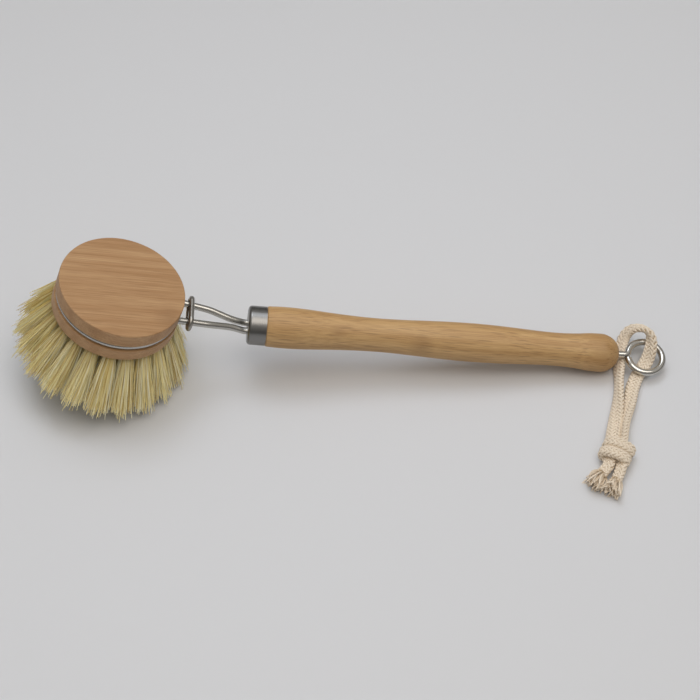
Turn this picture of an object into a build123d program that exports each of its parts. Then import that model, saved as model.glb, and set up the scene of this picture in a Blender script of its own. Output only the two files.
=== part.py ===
"""A dish brush lying on a worktop: bamboo handle, wire yoke, round brush head, screw eye and cord.

+X runs from the head to the hanging eye, +Y is away from the viewer and +Z is up. The origin is on
the worktop under the middle of the brush. All sizes are in millimetres.
"""
import os
from math import atan2, cos, degrees, pi, radians, sin, sqrt, tan

from build123d import *

os.makedirs("parts", exist_ok=True)

# How the brush lies
HEAD_X = -87.7  # head's centre from the middle of the brush
HEAD_TILT = 17.1  # slope of the head and the wire down to the handle, in degrees
HANDLE_TILT = 6.75

# Brush head
HEAD_D = 50.0
TOP_FLANGE = 6.2
GROOVE_WIDTH = 3.0
GROOVE_FLOOR_D = 43.2
LOW_FLANGE = 5.2
HEAD_ROUNDING = 0.4

# Tufts: how many stand on each ring and how far its holes are from the head's centre
TUFT_RINGS = {"centre": (1, 0.0), "inner": (7, 7.0), "middle": (13, 13.5), "outer": (20, 20.5)}
TUFT_HOLE_D = 4.2
TUFT_HOLE_DEPTH = 9.0
DRILL_LEAD = 1.0  # each hole's cut starts this far outside the block
TUFT_ROOT_D = 4.0
TUFT_ROOT_DEPTH = 7.4
BRISTLE_DEPTH = 24.4  # how far the tips stand below the head
FAN = 1.54  # the tufts' tips stand on rings this much larger than their roots
TUFT_FAN = 2.5  # and the strands of one tuft spread by this much
STRAND_RINGS = ((4, 0.62, 0.56), (7, 1.45, 0.85))  # count, distance from the tuft's middle, side
STRAND_SINK = 1.6
STAPLE = (3.4, 0.7, 1.2)

# Wire yoke
WIRE_D = 2.7
RING_R = 23.3  # middle of the wire, inside the groove
SHOULDER_R = 3.5  # bend where the ring opens into the legs
LEG_LEAN = 4.5  # each leg's slope away from the middle, in degrees
LEG_KNEE = (37.0, 3.8)  # where the legs start to close in, from the head's centre
LEG_ANKLE = (46.0, 2.0, -0.85)  # where they run side by side, a little below the head's plane
LEG_BEND_R = 20.0
TAIL_GAP = 4.2  # between the middles of the two tails
TAIL_DROP = 1.3  # the tails lie this far below the handle's axis
TAIL_LENGTH = 24.0
TAIL_BEND_R = 6.0
BEND_LEAD = 1.4  # from the tails' bend to the ferrule's face

# Lock ring on the legs
SLIDER_PLACE = 28.9  # from the head's centre, when it is pushed up to lock
SLIDER_WIRE_D = 2.0
SLIDER_CLEARANCE = 0.3  # all round the legs

# Ferrule
FACE_REACH = 52.28  # head's centre to the middle of the ferrule's face, along the head's plane
FACE_RISE = 0.13  # and above it
FERRULE_D = 15.6
FERRULE_LENGTH = 7.3
FERRULE_WALL = 0.5
FERRULE_ROUNDING = 1.4
WIRE_CLEARANCE = 0.2

# Handle: radius at stations along its axis, from the ferrule's face
HANDLE_SHOULDER = (7.8, 8.0)
HANDLE_FIRST_BELLY = (17.0, 8.2)
HANDLE_FIRST_SLOPE = (33.0, 7.35)
HANDLE_FIRST_WAIST = (53.0, 6.67)
HANDLE_GRIP_RISE = (73.0, 7.35)
HANDLE_GRIP = (93.0, 7.73)
HANDLE_GRIP_FALL = (109.0, 7.2)
HANDLE_SECOND_WAIST = (122.0, 6.68)
HANDLE_END_RISE = (133.0, 7.05)
HANDLE_END_R = 7.7
HANDLE_LENGTH = 150.3
SHOULDER_CHAMFER = 0.45
SHOULDER_SLOPE = 0.06  # the handle's rise per millimetre behind the shoulder

# Screw eye
EYE_WIRE_D = 2.8
EYE_R = 7.15  # middle of the wire
EYE_REACH = 10.95  # handle's end to the ring's centre
EYE_DROP = 0.45  # the ring's centre is this far off the shank's line
EYE_ROLL = 9.5  # the far side of the ring is rolled up by this many degrees
EYE_ENTRY = 163.0  # where the shank joins the ring, in degrees from +X
EYE_TIP = 189.0  # where the ring's cut end lies
EYE_KINK_R = 1.9
EYE_SHANK_DEPTH = 12.0
EYE_PILOT_D = 2.55
EYE_POINT = 0.9

# Hanging cord
CORD_D = 3.0
BOARD_GAP = 0.02  # whatever lies on the worktop is drawn this far above it
CORD_REST = CORD_D / 2 + BOARD_GAP
CORD_LEAD = 4.4  # the cord leaves the knot straight for this length
CORD_SPREAD = 1.8  # each side of the loop is this far from the knot's middle
LEAD_DROP = 0.5  # and this far below it
KNOT_CENTRE = (106.7, -47.7, 4.15)
KNOT_TURN = 10.0  # its axis is turned by this from -Y towards -X
KNOT_WIDTH = 13.4
KNOT_HEIGHT = 8.2
KNOT_LENGTH = 9.6
KNOT_WRAP_STEP = 3.6
KNOT_WRAP_LEAN = 18.0
TAIL_SPREAD = 2.2
TAIL_LEAD = 2.4
TAIL_TURN_R = 4.0
TAIL_FRAY_D = 5.2
TAIL_FRAY_LENGTH = 6.0
TAIL_ENDS = ((96.5, -63.8), (101.2, -68.0))  # where the frayed ends lie


def sloping(angle):
    """Direction that runs towards +X and down by an angle."""
    return Vector(cos(radians(angle)), 0, -sin(radians(angle)))


def square_to(angle):
    """Upward direction square to such a slope."""
    return Vector(sin(radians(angle)), 0, cos(radians(angle)))


# The handle's round end touches the worktop, which sets the height of all the rest
GROOVE_Z = (
    HANDLE_END_R
    + (HANDLE_LENGTH - HANDLE_END_R) * sin(radians(HANDLE_TILT))
    + FACE_REACH * sin(radians(HEAD_TILT))
    - FACE_RISE * cos(radians(HEAD_TILT))
)

# Planes that the pieces are placed by
BLOCK_ABOVE = GROOVE_WIDTH / 2 + TOP_FLANGE
BLOCK_BELOW = GROOVE_WIDTH / 2 + LOW_FLANGE
head_plane = Plane((HEAD_X, 0, GROOVE_Z), x_dir=sloping(HEAD_TILT), z_dir=square_to(HEAD_TILT))
head_section = Plane(head_plane.origin, x_dir=head_plane.x_dir, z_dir=(0, -1, 0))
handle_dir = sloping(HANDLE_TILT)
ferrule_face = head_plane.from_local_coords((FACE_REACH, 0, FACE_RISE))
handle_section = Plane(ferrule_face, x_dir=handle_dir, z_dir=(0, -1, 0))
handle_axis = Axis(ferrule_face, handle_dir)
drill_plane = Plane(ferrule_face, x_dir=(0, 1, 0), z_dir=-handle_dir)
handle_end = ferrule_face + handle_dir * HANDLE_LENGTH


# Handle
with BuildPart() as handle:
    tenon_r = FERRULE_D / 2 - FERRULE_WALL
    end_centre = HANDLE_LENGTH - HANDLE_END_R
    shoulder_foot = HANDLE_SHOULDER[1] - SHOULDER_CHAMFER
    with BuildSketch(handle_section):
        with BuildLine():
            Polyline(
                (FERRULE_WALL, 0),
                (FERRULE_WALL, tenon_r),
                (FERRULE_LENGTH, tenon_r),
                (FERRULE_LENGTH, shoulder_foot),
                HANDLE_SHOULDER,
            )
            Spline(
                HANDLE_SHOULDER,
                HANDLE_FIRST_BELLY,
                HANDLE_FIRST_SLOPE,
                HANDLE_FIRST_WAIST,
                HANDLE_GRIP_RISE,
                HANDLE_GRIP,
                HANDLE_GRIP_FALL,
                HANDLE_SECOND_WAIST,
                HANDLE_END_RISE,
                (end_centre, HANDLE_END_R),
                tangents=((1, SHOULDER_SLOPE), (1, 0)),
            )
            CenterArc((end_centre, 0), HANDLE_END_R, start_angle=90, arc_size=-90)
            Line((HANDLE_LENGTH, 0), (FERRULE_WALL, 0))
        make_face()
    revolve(axis=handle_axis)
    with Locations(drill_plane):
        with Locations((TAIL_GAP / 2, TAIL_DROP), (-TAIL_GAP / 2, TAIL_DROP)):
            Hole((WIRE_D + WIRE_CLEARANCE) / 2, depth=TAIL_LENGTH)
    with Locations(Plane(handle_end, z_dir=handle_dir)):
        Hole(EYE_PILOT_D / 2, depth=EYE_SHANK_DEPTH)
handle.part.label = "handle"
export_step(handle.part, "parts/handle.step")


# Ferrule
with BuildPart() as ferrule:
    with BuildSketch(handle_section):
        with Locations((FERRULE_LENGTH / 2, FERRULE_D / 4)):
            Rectangle(FERRULE_LENGTH, FERRULE_D / 2)
        with Locations((FERRULE_WALL + FERRULE_LENGTH / 2, FERRULE_D / 4 - FERRULE_WALL)):
            Rectangle(FERRULE_LENGTH, FERRULE_D / 2, mode=Mode.SUBTRACT)
    revolve(axis=handle_axis)
    rims = ferrule.edges().filter_by(GeomType.CIRCLE).sort_by(handle_axis)
    fillet([edge for edge in rims if edge.radius > tenon_r + FERRULE_WALL / 2][0], FERRULE_ROUNDING)
    with Locations(drill_plane):
        with Locations((TAIL_GAP / 2, TAIL_DROP), (-TAIL_GAP / 2, TAIL_DROP)):
            Hole((WIRE_D + WIRE_CLEARANCE) / 2, depth=FERRULE_LENGTH)
ferrule.part.label = "ferrule"
export_step(ferrule.part, "parts/ferrule.step")


# Wire yoke: each leg closes in from its tail's bend at the ferrule to the knee, and from there it
# runs straight to a shoulder bend, which opens into the ring. One half is drawn on the head's
# plane and mirrored.
bend_rise = radians(HEAD_TILT - HANDLE_TILT)
tail_dir = Vector(cos(bend_rise), 0, sin(bend_rise))
tail_down = Vector(sin(bend_rise), 0, -cos(bend_rise))
tail_mouth = Vector(FACE_REACH, TAIL_GAP / 2, FACE_RISE) + tail_down * TAIL_DROP
bend_point = tail_mouth - tail_dir * BEND_LEAD
tail_end = bend_point + tail_dir * TAIL_LENGTH
leg_lean = radians(LEG_LEAN)
shoulder_out = LEG_KNEE[0] * sin(leg_lean) + LEG_KNEE[1] * cos(leg_lean) + SHOULDER_R
shoulder_along = sqrt((RING_R + SHOULDER_R) ** 2 - shoulder_out**2)
shoulder = (
    shoulder_along * cos(leg_lean) + shoulder_out * sin(leg_lean),
    shoulder_out * cos(leg_lean) - shoulder_along * sin(leg_lean),
)
leg_end = (shoulder[0] - SHOULDER_R * sin(leg_lean), shoulder[1] - SHOULDER_R * cos(leg_lean))
leg_points = (tuple(tail_end), tuple(bend_point), LEG_ANKLE, LEG_KNEE, leg_end)
ring_gap = degrees(atan2(shoulder[1], shoulder[0]))
shoulder_turn = 90 - LEG_LEAN - ring_gap
with BuildPart() as wire_yoke:
    with BuildLine(head_plane) as yoke_line:
        FilletPolyline(*leg_points, radius=(TAIL_BEND_R, LEG_BEND_R, LEG_BEND_R))
        CenterArc(shoulder, SHOULDER_R, start_angle=ring_gap + 180, arc_size=shoulder_turn)
        CenterArc((0, 0), RING_R, start_angle=ring_gap, arc_size=180 - ring_gap)
        mirror(about=Plane.XZ)
    yoke_wire = yoke_line.wire()
    with BuildSketch(Plane(yoke_wire @ 0, z_dir=yoke_wire % 0)):
        Circle(WIRE_D / 2)
    sweep(path=yoke_wire)
wire_yoke.part.label = "wire_yoke"
export_step(wire_yoke.part, "parts/wire_yoke.step")


# Lock ring: an oval ring of wire that stands square to the legs
slider_centre = head_plane.from_local_coords((SLIDER_PLACE, 0, 0))
slider_plane = Plane(slider_centre, x_dir=(0, 1, 0), z_dir=head_plane.x_dir)
slider_r = WIRE_D / 2 + SLIDER_CLEARANCE + SLIDER_WIRE_D / 2
leg_y = LEG_KNEE[1] + (LEG_KNEE[0] - SLIDER_PLACE) * tan(leg_lean)
with BuildPart() as slider_ring:
    with BuildLine(slider_plane) as slider_line:
        Line((-leg_y, slider_r), (leg_y, slider_r))
        CenterArc((leg_y, 0), slider_r, start_angle=90, arc_size=-180)
        Line((leg_y, -slider_r), (-leg_y, -slider_r))
        CenterArc((-leg_y, 0), slider_r, start_angle=-90, arc_size=-180)
    slider_wire = slider_line.wire()
    with BuildSketch(Plane(slider_wire @ 0, z_dir=slider_wire % 0)):
        Circle(SLIDER_WIRE_D / 2)
    sweep(path=slider_wire)
slider_ring.part.label = "slider_ring"
export_step(slider_ring.part, "parts/slider_ring.step")


# Screw eye
eye_across = Vector(0, cos(radians(EYE_ROLL)), 0)
eye_across = eye_across + square_to(HANDLE_TILT) * sin(radians(EYE_ROLL))
eye_centre = handle_end + handle_dir * EYE_REACH
eye_plane = Plane(eye_centre, x_dir=handle_dir, z_dir=handle_dir.cross(eye_across))
entry = radians(EYE_ENTRY)
entry_point = (EYE_R * cos(entry), EYE_R * sin(entry) - EYE_DROP)
kink_point = (entry_point[0] + entry_point[1] * tan(entry), 0)
with BuildPart() as screw_eye:
    with BuildLine(eye_plane) as eye_line:
        shank_start = (-EYE_REACH - EYE_SHANK_DEPTH, 0)
        FilletPolyline(shank_start, kink_point, entry_point, radius=EYE_KINK_R)
        eye_arc = 360 - (EYE_TIP - EYE_ENTRY)
        CenterArc((0, -EYE_DROP), EYE_R, start_angle=EYE_ENTRY, arc_size=-eye_arc)
    eye_wire = eye_line.wire()
    with BuildSketch(Plane(handle_end - handle_dir * EYE_SHANK_DEPTH, z_dir=handle_dir)):
        Circle(EYE_WIRE_D / 2)
    sweep(path=eye_wire)
    shank_rim = screw_eye.edges().filter_by(GeomType.CIRCLE).sort_by(handle_axis)[0]
    chamfer(shank_rim, EYE_POINT)
screw_eye.part.label = "screw_eye"
export_step(screw_eye.part, "parts/screw_eye.step")


# Brush head: every tuft hole leans outwards from the head's axis
def tuft_places():
    """Name, distance from the head's centre and turn of each tuft."""
    for ring, (count, distance) in TUFT_RINGS.items():
        for number in range(count):
            name = f"tuft_{ring}_{number + 1:02d}" if count > 1 else f"tuft_{ring}"
            yield name, distance, 2 * pi * number / count


def tuft_plane(distance, turn):
    """Plane at the mouth of a tuft's hole, with its Z out along the tuft."""
    radial = head_plane.x_dir * cos(turn) + head_plane.y_dir * sin(turn)
    around = head_plane.y_dir * cos(turn) - head_plane.x_dir * sin(turn)
    lean = distance * (FAN - 1) / BRISTLE_DEPTH
    mouth = head_plane.origin + radial * distance - head_plane.z_dir * BLOCK_BELOW
    return Plane(mouth, x_dir=around, z_dir=radial * lean - head_plane.z_dir)


with BuildPart() as head_block:
    half = HEAD_D / 2
    floor_r = GROOVE_FLOOR_D / 2
    with BuildSketch(head_section):
        with BuildLine():
            Polyline(
                (0, -BLOCK_BELOW),
                (half, -BLOCK_BELOW),
                (half, -GROOVE_WIDTH / 2),
                (floor_r, -GROOVE_WIDTH / 2),
                (floor_r, GROOVE_WIDTH / 2),
                (half, GROOVE_WIDTH / 2),
                (half, BLOCK_ABOVE),
                (0, BLOCK_ABOVE),
                close=True,
            )
        make_face()
    head_axis = Axis(head_plane.origin, head_plane.z_dir)
    revolve(axis=head_axis)
    rims = head_block.edges().filter_by(GeomType.CIRCLE).sort_by(head_axis)
    fillet([rims[0], rims[-1]], HEAD_ROUNDING)
    for name, distance, turn in tuft_places():
        with Locations(tuft_plane(distance, turn).offset(DRILL_LEAD)):
            Hole(TUFT_HOLE_D / 2, depth=TUFT_HOLE_DEPTH + DRILL_LEAD)
head_block.part.label = "head_block"
export_step(head_block.part, "parts/head_block.step")


# Staples: one at the bottom of each hole
with BuildPart() as tuft_staples:
    for name, distance, turn in tuft_places():
        with BuildSketch(tuft_plane(distance, turn).offset(-TUFT_HOLE_DEPTH)):
            Rectangle(STAPLE[0], STAPLE[1])
        extrude(amount=STAPLE[2])
tuft_staples.part.label = "tuft_staples"
export_step(tuft_staples.part, "parts/tuft_staples.step")


# Tufts: straight strands that spread from a common root, so that none crosses another
def strand_ends(distance, turn, strand_distance, strand_turn):
    """Root and tip of one strand, in the head's own frame."""
    middle = Vector(cos(turn), sin(turn), 0) * distance
    beside = Vector(cos(turn + strand_turn), sin(turn + strand_turn), 0) * strand_distance
    root = middle + beside - Vector(0, 0, BLOCK_BELOW)
    tip = middle * FAN + beside * TUFT_FAN - Vector(0, 0, BLOCK_BELOW + BRISTLE_DEPTH)
    return root, tip


def strand(distance, turn, strand_distance, strand_turn, side):
    """One four-sided strand, sunk a little into the tuft's root."""
    root, tip = strand_ends(distance, turn, strand_distance, strand_turn)
    start = root - (tip - root) * (STRAND_SINK / BRISTLE_DEPTH)
    run = head_plane.from_local_coords(tip) - head_plane.from_local_coords(start)
    around = head_plane.from_local_coords(Vector(cos(turn + strand_turn), sin(turn + strand_turn), 0))
    start_plane = Plane(
        head_plane.from_local_coords(start),
        x_dir=around - head_plane.origin,
        z_dir=-head_plane.z_dir,
    )
    with BuildSketch(start_plane, mode=Mode.PRIVATE) as section:
        Rectangle(side, side)
    return extrude(section.sketch, amount=run.length, dir=run.normalized(), mode=Mode.PRIVATE)


for name, distance, turn in tuft_places():
    strands = []
    for count, strand_distance, side in STRAND_RINGS:
        for number in range(count):
            strands.append(strand(distance, turn, strand_distance, 2 * pi * number / count, side))
    with BuildPart() as tuft:
        with BuildSketch(tuft_plane(distance, turn)):
            RegularPolygon(TUFT_ROOT_D / 2, 8)
        extrude(amount=-TUFT_ROOT_DEPTH)
        add(strands)
        if tuft.part.bounding_box().min.Z < 0:
            split(bisect_by=Plane.XY, keep=Keep.TOP)
    tuft.part.label = name
    export_step(tuft.part, f"parts/{name}.step")


# Knot: a core with two wraps of the cord round it
knot_axis = Vector(-sin(radians(KNOT_TURN)), -cos(radians(KNOT_TURN)), 0)
knot_side = Vector(cos(radians(KNOT_TURN)), -sin(radians(KNOT_TURN)), 0)
knot_plane = Plane(KNOT_CENTRE, x_dir=knot_side, z_dir=knot_axis)
wrap_lean = radians(KNOT_WRAP_LEAN)
wrap_side = knot_side * cos(wrap_lean) + knot_axis * sin(wrap_lean)
wrap_axis = knot_axis * cos(wrap_lean) - knot_side * sin(wrap_lean)
wrap_r = (KNOT_HEIGHT - CORD_D) / 2
wrap_half = KNOT_WIDTH / 2 - CORD_D / 2 - wrap_r
with BuildPart() as cord_knot:
    with BuildSketch(knot_plane.offset(-KNOT_LENGTH / 2)):
        SlotCenterToCenter(2 * wrap_half, 2 * wrap_r)
    extrude(amount=KNOT_LENGTH)
    for place in (-KNOT_WRAP_STEP / 2, KNOT_WRAP_STEP / 2):
        wrap_middle = knot_plane.from_local_coords((0, 0, place))
        with BuildLine(Plane(wrap_middle, x_dir=wrap_side, z_dir=wrap_axis)) as wrap_line:
            Line((-wrap_half, wrap_r), (wrap_half, wrap_r))
            CenterArc((wrap_half, 0), wrap_r, start_angle=90, arc_size=-180)
            Line((wrap_half, -wrap_r), (-wrap_half, -wrap_r))
            CenterArc((-wrap_half, 0), wrap_r, start_angle=-90, arc_size=-180)
        wrap_wire = wrap_line.wire()
        with BuildSketch(Plane(wrap_wire @ 0, z_dir=wrap_wire % 0)):
            Circle(CORD_D / 2)
        sweep(path=wrap_wire)
cord_knot.part.label = "cord_knot"
export_step(cord_knot.part, "parts/cord_knot.step")


# Cord loop: from the knot past the round end of the handle, up over the far side of the eye,
# down through it and back to the knot
left_mouth = knot_plane.from_local_coords((-CORD_SPREAD, -LEAD_DROP, -KNOT_LENGTH / 2))
right_mouth = knot_plane.from_local_coords((CORD_SPREAD, -LEAD_DROP, -KNOT_LENGTH / 2))
cord_points = [
    left_mouth,
    left_mouth - knot_axis * CORD_LEAD,
    (108.6, -31.6, CORD_REST),
    (110.4, -21.5, CORD_REST),
    (111.4, -11.2, CORD_REST),
    (112.4, -1.8, CORD_REST),
    (113.6, 6.3, 1.7),
    (114.7, 10.5, 4.0),
    (116.9, 12.1, 7.6),
    (120.0, 11.4, 10.3),
    (123.0, 9.6, 11.4),
    (125.2, 6.0, 10.6),
    (125.0, 1.7, 7.0),
    (123.5, -1.0, 2.8),
    (119.8, -6.0, CORD_REST),
    (117.2, -12.7, CORD_REST),
    (115.0, -22.0, CORD_REST),
    (112.5, -31.6, CORD_REST),
    right_mouth - knot_axis * CORD_LEAD,
    right_mouth,
]


def bend_radii(points, share=0.45):
    """Bend at each corner that takes up a share of the shorter run beside it."""
    radii = []
    for before, here, after in zip(points, points[1:], points[2:]):
        run_in = Vector(here) - Vector(before)
        run_out = Vector(after) - Vector(here)
        half_turn = radians(run_in.get_angle(run_out)) / 2
        radii.append(share * min(run_in.length, run_out.length) / tan(half_turn))
    return radii


radii = bend_radii(cord_points)
print("cord bend radii", [round(radius, 1) for radius in radii])
with BuildPart() as hang_cord:
    with BuildLine() as cord_line:
        FilletPolyline(*cord_points, radius=radii)
    cord_wire = cord_line.wire()
    with BuildSketch(Plane(cord_wire @ 0, z_dir=cord_wire % 0)):
        Circle(CORD_D / 2)
    sweep(path=cord_wire)
hang_cord.part.label = "hang_cord"
export_step(hang_cord.part, "parts/hang_cord.step")
tube_volume = pi * CORD_D**2 / 4 * cord_wire.length
print("cord length", round(cord_wire.length, 1), "volume ratio", hang_cord.part.volume / tube_volume)


# Cord tails: two short ends that fray open
for name, side, (end_x, end_y) in (
    ("cord_tail_left", -TAIL_SPREAD, TAIL_ENDS[0]),
    ("cord_tail_right", TAIL_SPREAD, TAIL_ENDS[1]),
):
    root = knot_plane.from_local_coords((side, -LEAD_DROP, KNOT_LENGTH / 2))
    turn_point = root + knot_axis * TAIL_LEAD
    end = Vector(end_x, end_y, TAIL_FRAY_D / 2 + BOARD_GAP)
    run = end - turn_point
    neck = end - run.normalized() * TAIL_FRAY_LENGTH
    with BuildPart() as tail:
        with BuildLine() as tail_line:
            FilletPolyline(root, turn_point, neck, radius=TAIL_TURN_R)
        with BuildSketch(Plane(root, z_dir=knot_axis)):
            Circle(CORD_D / 2)
        sweep(path=tail_line.wire())
        with BuildSketch(Plane(neck, z_dir=run)):
            Circle(CORD_D / 2)
        with BuildSketch(Plane(end, z_dir=run)):
            Circle(TAIL_FRAY_D / 2)
        loft()
    tail.part.label = name
    export_step(tail.part, f"parts/{name}.step")
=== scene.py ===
# %% [markdown]
# # A dish brush on a worktop
# A dish brush has a turned bamboo handle, a bent steel wire that grips a round brush head, and a
# cotton loop to hang it by. The CAD model gives every piece its place and size. This lesson
# dresses that model: it keeps the solids whose shapes are right and gives them finishes, and it
# builds what a solid shows only roughly, which is the bristles and the braided cord.

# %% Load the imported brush
import math

import bpy
import numpy as np
from mathutils import Matrix, Vector


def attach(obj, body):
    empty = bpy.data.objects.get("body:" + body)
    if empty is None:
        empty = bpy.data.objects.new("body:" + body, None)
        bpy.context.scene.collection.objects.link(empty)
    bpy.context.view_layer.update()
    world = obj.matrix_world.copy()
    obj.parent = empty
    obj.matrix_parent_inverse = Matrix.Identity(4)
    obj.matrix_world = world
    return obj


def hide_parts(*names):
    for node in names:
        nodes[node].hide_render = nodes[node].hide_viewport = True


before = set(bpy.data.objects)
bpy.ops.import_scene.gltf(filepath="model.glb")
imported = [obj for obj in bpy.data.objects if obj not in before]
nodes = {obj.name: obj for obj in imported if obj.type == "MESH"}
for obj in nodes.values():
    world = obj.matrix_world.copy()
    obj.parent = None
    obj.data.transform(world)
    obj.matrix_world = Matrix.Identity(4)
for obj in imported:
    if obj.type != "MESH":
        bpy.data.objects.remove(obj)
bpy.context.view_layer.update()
MM = 0.001

# %% [markdown]
# ## Camera
# The picture was taken from about 0.8 m away with a long lens, looking down at 50 degrees. The
# place and turn below were worked out from the outlines of the head, the wire and the handle.

# %% Camera
CAMERA_PLACE = (-0.01261, -0.53178, 0.640283)
CAMERA_RIGHT = (0.999817, -0.010809, 0.015804)
CAMERA_UP = (-0.001916, 0.764771, 0.644299)
CAMERA_BACK = (-0.019051, -0.644211, 0.76461)
camera_data = bpy.data.cameras.new("photo_camera")
camera_data.lens = 105.66
camera_data.sensor_width = 36.0
camera_data.clip_start = 0.01
camera_data.clip_end = 20.0
camera = bpy.data.objects.new("photo_camera", camera_data)
turn = Matrix((CAMERA_RIGHT, CAMERA_UP, CAMERA_BACK)).transposed()
camera.matrix_world = Matrix.Translation(CAMERA_PLACE) @ turn.to_4x4()
bpy.context.scene.collection.objects.link(camera)
bpy.context.scene.camera = camera
print("camera", round(Vector(CAMERA_PLACE).length, 3), "m from the worktop's middle")

# %% [markdown]
# ## Helpers for colours and nodes
# Colours are written as hex values, as a paint chart gives them, and one function turns them to
# the linear values that the renderer adds up. Another adds a shader or geometry node with its
# settings and links, so that a tree reads as a list of nodes.


# %% Colour and node helpers
def colour(chip):
    """Linear red, green, blue and alpha of an sRGB hex colour."""
    parts = [int(chip[i:i + 2], 16) / 255 for i in (1, 3, 5)]
    return (*[p / 12.92 if p <= 0.04045 else ((p + 0.055) / 1.055) ** 2.4 for p in parts], 1.0)


def add_node(tree, kind, links=None, stops=(), **settings):
    """A new node with its settings.

    links maps an input's name or number to a value or to another node's output, and stops are the
    places and hex colours of a colour ramp.
    """
    node = tree.nodes.new(kind)
    for key, value in settings.items():
        setattr(node, key, value)
    for key, value in (links or {}).items():
        if isinstance(value, bpy.types.NodeSocket):
            tree.links.new(value, node.inputs[key])
        else:
            node.inputs[key].default_value = value
    for _ in stops[2:]:
        node.color_ramp.elements.new(0.5)
    for number, (place, chip) in enumerate(stops):
        node.color_ramp.elements[number].position = place
        node.color_ramp.elements[number].color = colour(chip)
    return node


def new_material(name, **shader_values):
    """An empty material with its tree, its shader and its output."""
    material = bpy.data.materials.new(name)
    material.use_nodes = True
    tree = material.node_tree
    tree.nodes.clear()
    shader = add_node(tree, "ShaderNodeBsdfPrincipled")
    for key, value in shader_values.items():
        shader.inputs[key.replace("_", " ")].default_value = value
    add_node(tree, "ShaderNodeOutputMaterial", {"Surface": shader.outputs[0]})
    return material, tree, shader


# %% [markdown]
# ## Worktop and light
# The brush lies on a plain pale board. Much of the light comes from the room, bright above and
# dim at the horizon, and that gives the wires their dark edges. Two lamps help: a narrow beam
# from above and a little behind, for the bright top of the handle, and a wide soft lamp high in
# front, for the bristles. Both stay large, so the shadow on the board has no hard edge.

# %% Worktop
BOARD_HALF = 4.0  # metres, so that no view from the side shows its edge
BOARD_DROP = 0.05 * MM
board_mesh = bpy.data.meshes.new("worktop")
corners = [(-1, -1), (1, -1), (1, 1), (-1, 1)]
board_places = [(x * BOARD_HALF, y * BOARD_HALF, -BOARD_DROP) for x, y in corners]
board_mesh.from_pydata(board_places, [], [(0, 1, 2, 3)])
worktop = bpy.data.objects.new("worktop", board_mesh)
bpy.context.scene.collection.objects.link(worktop)
board_finish, tree, shader = new_material("painted_board", Roughness=0.5)
shader.inputs["Base Color"].default_value = colour("#dadce0")
board_mesh.materials.append(board_finish)
print("worktop", BOARD_HALF * 2, "m wide")

# %% Lights
world = bpy.data.worlds.new("studio")
bpy.context.scene.world = world
world.use_nodes = True
tree = world.node_tree
tree.nodes.clear()
place = add_node(tree, "ShaderNodeTexCoord")
height = add_node(tree, "ShaderNodeSeparateXYZ", {0: place.outputs["Generated"]})
SKY = [(0.02, "#3c3a38"), (0.75, "#cfcbc5")]
SKY_STRENGTH = 0.74
ramp = add_node(tree, "ShaderNodeValToRGB", {0: height.outputs[2]}, stops=SKY)
sky = add_node(tree, "ShaderNodeBackground", {"Color": ramp.outputs[0], "Strength": SKY_STRENGTH})
add_node(tree, "ShaderNodeOutputWorld", {"Surface": sky.outputs[0]})


def soft_light(name, place, width, depth, watts, spread, chip):
    """A rectangular lamp that faces the middle of the worktop."""
    lamp = bpy.data.lights.new(name, "AREA")
    lamp.shape = "RECTANGLE"
    lamp.size = width
    lamp.size_y = depth
    lamp.energy = watts
    lamp.spread = math.radians(spread)
    lamp.color = colour(chip)[:3]
    holder = bpy.data.objects.new(name, lamp)
    bpy.context.scene.collection.objects.link(holder)
    holder.location = place
    holder.rotation_euler = (-Vector(place)).to_track_quat("-Z", "Y").to_euler()


soft_light(
    "overhead_light",
    (-0.15, 0.45, 1.15),
    width=0.9,
    depth=0.6,
    watts=0.64,
    spread=60,
    chip="#eef5ff",
)
soft_light(
    "front_fill",
    (0.2, -0.3, 1.4),
    width=1.2,
    depth=0.8,
    watts=6.8,
    spread=180,
    chip="#fff8f0",
)
bpy.context.scene.view_settings.view_transform = "Standard"
print("lights", len(bpy.data.lights))

# %% [markdown]
# ## Hanging cord: its route
# The cord is a flat cotton braid, about 6 mm wide and 2.9 mm thick. It leaves the knot, lies on
# the board, turns up past the round end of the handle, goes over the far side of the steel eye,
# down through it and back to the knot. The route is one smooth spline through the places of the
# CAD tube's bends. It is a little higher where the braid stands on its edge, and at each place it
# also says which way the flat braid's width points. The same spline smooths both lists, so the
# braid twists evenly.

# %% Cord route
CORD_WIDTH = 6.0 * MM
CORD_THICK = 2.9 * MM
KNOT_CENTRE = Vector((106.7, -47.7, 4.15)) * MM
KNOT_TURN = math.radians(10.0)
KNOT_LENGTH = 9.6 * MM
knot_axis = Vector((-math.sin(KNOT_TURN), -math.cos(KNOT_TURN), 0))
knot_side = Vector((math.cos(KNOT_TURN), -math.sin(KNOT_TURN), 0))
LEAD_DROP = Vector((0, 0, 0.5)) * MM  # the legs enter the knot this far below its middle
MOUTH_DEPTH = 2.4 * MM  # each leg starts this far inside the knot
LEG_LEAD = 4.4 * MM  # and leaves it straight for this length
LEFT_SPREAD = 2.2 * MM
RIGHT_SPREAD = 2.0 * MM
knot_face = KNOT_CENTRE - LEAD_DROP - knot_axis * KNOT_LENGTH / 2
left_mouth = knot_face - knot_side * LEFT_SPREAD
right_mouth = knot_face + knot_side * RIGHT_SPREAD
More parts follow.
